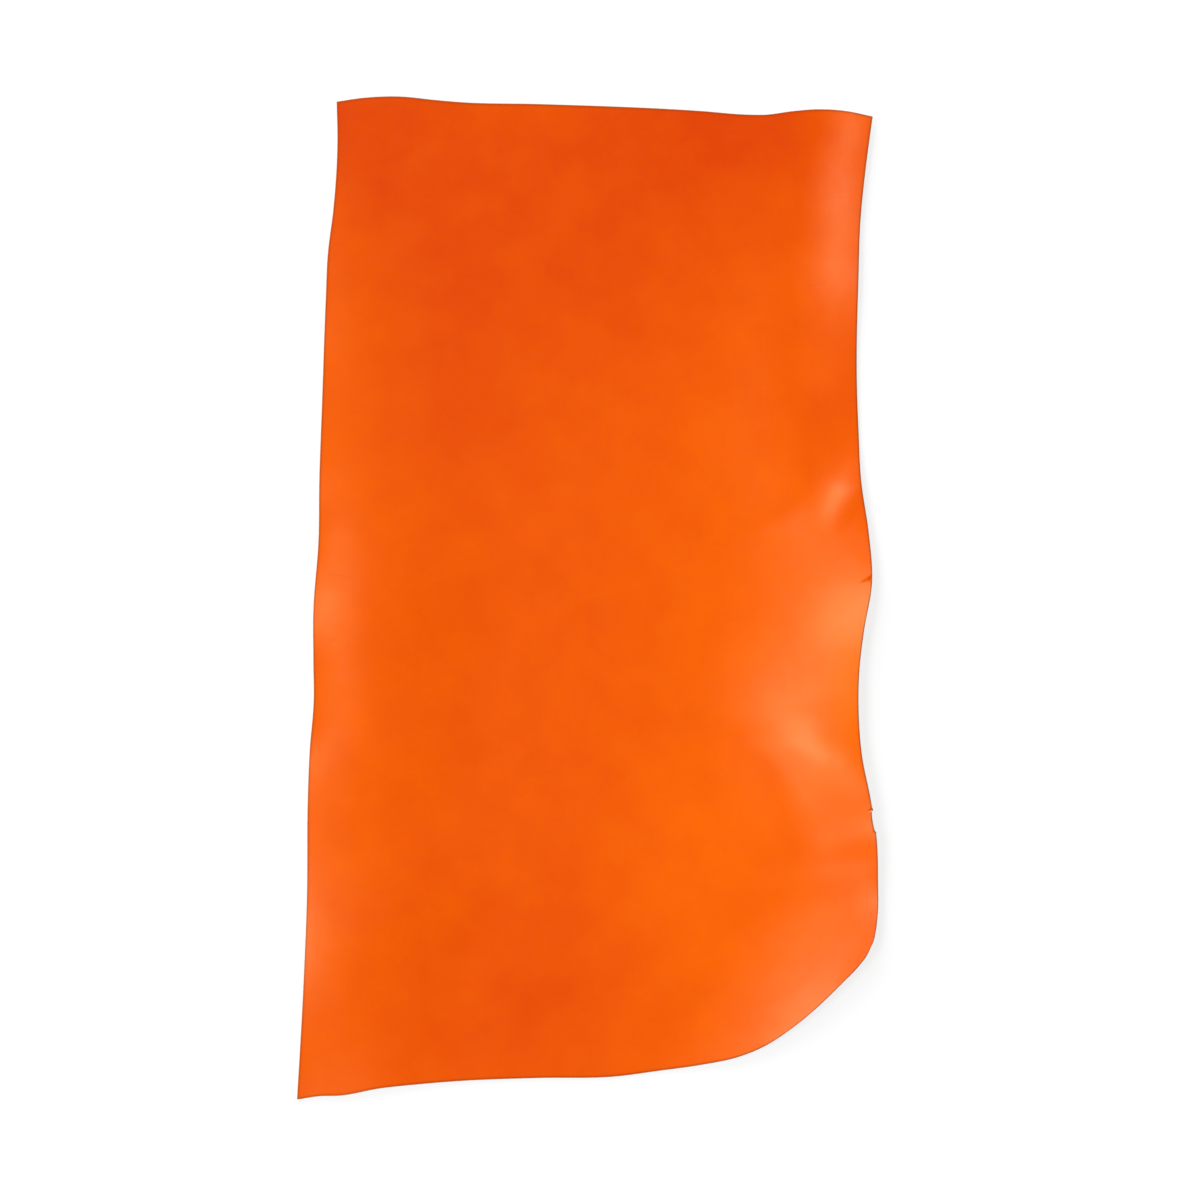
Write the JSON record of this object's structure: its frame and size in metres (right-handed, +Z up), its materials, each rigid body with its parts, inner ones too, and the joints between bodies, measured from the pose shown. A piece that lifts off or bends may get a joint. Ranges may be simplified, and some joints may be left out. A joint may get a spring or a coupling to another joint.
{
  "type": "dyed leather half hide",
  "caption": "Flat-lying half hide of smooth orange leather with straight backbone edge, wavy, upturned belly edge and rounded tail corner.",
  "frame": {"origin": "on the ground, below the middle of the hide's box", "axes": "+Y runs from the tail end to the head end, +X from the backbone edge to the belly edge, +Z up out of the grain side"},
  "size_m": [0.755, 1.3038, 0.0269],
  "materials": {
    "dyed_leather": "smooth aniline-dyed orange grain side with a soft sheen"
  },
  "bodies": {
    "root": {"hide": "dyed_leather"}
  },
  "joints": []
}
